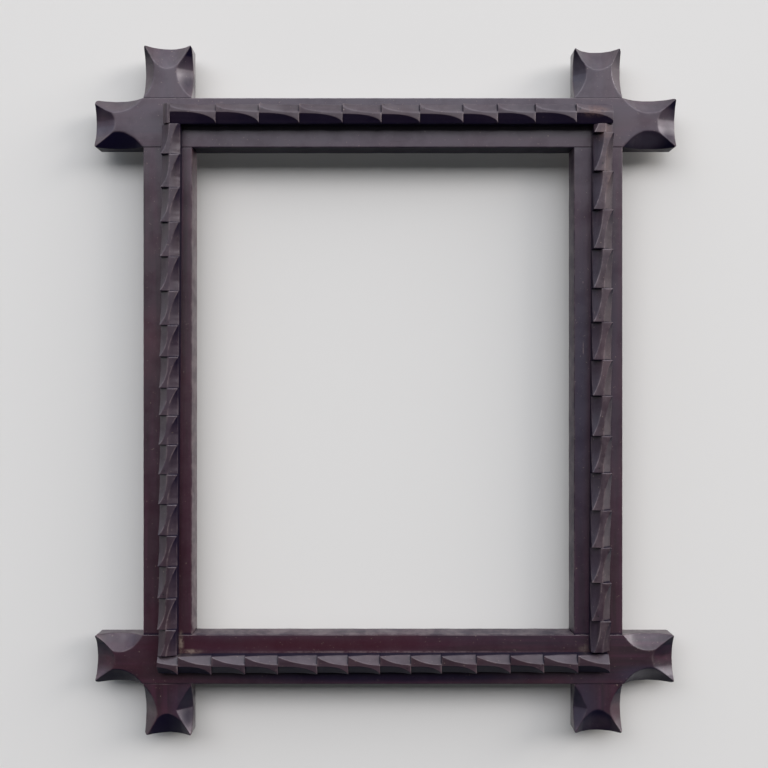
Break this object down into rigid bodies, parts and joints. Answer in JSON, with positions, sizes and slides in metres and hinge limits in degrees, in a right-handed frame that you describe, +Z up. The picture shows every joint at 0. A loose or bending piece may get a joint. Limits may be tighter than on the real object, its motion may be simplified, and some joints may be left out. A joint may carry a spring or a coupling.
{
  "type": "picture frame",
  "caption": "Dark stained cross-corner wooden picture frame with scooped horn ends, half-lapped corners and notched carved strips round the opening.",
  "frame": {"origin": "middle of the top rail's back face, which lies against the wall", "axes": "+X to the right as seen from the front, +Y out of the back towards the wall, +Z up"},
  "size_m": [0.5479, 0.0516, 0.6499],
  "materials": {
    "board_wood": "old dark stain with a soft sheen",
    "slip_wood": "old dark stain with a soft sheen",
    "strip_wood": "gouge-cut, dark stain worn lighter on its arrises",
    "nail_steel": "dulled wire",
    "eye_steel": "dulled, zinc-plated"
  },
  "bodies": {
    "root": {"top_rail": "board_wood", "bottom_rail": "board_wood", "left_stile": "board_wood", "right_stile": "board_wood", "top_slip": "slip_wood", "bottom_slip": "slip_wood", "left_slip": "slip_wood", "right_slip": "slip_wood", "top_strip": "strip_wood", "bottom_strip": "strip_wood", "left_strip": "strip_wood", "right_strip": "strip_wood", "top_strip_pins": "nail_steel", "bottom_strip_pins": "nail_steel", "left_strip_pins": "nail_steel", "right_strip_pins": "nail_steel", "top_left_lap_nails": "nail_steel", "top_right_lap_nails": "nail_steel", "bottom_left_lap_nails": "nail_steel", "bottom_right_lap_nails": "nail_steel", "left_screw_eye": "eye_steel", "right_screw_eye": "eye_steel"}
  },
  "joints": []
}
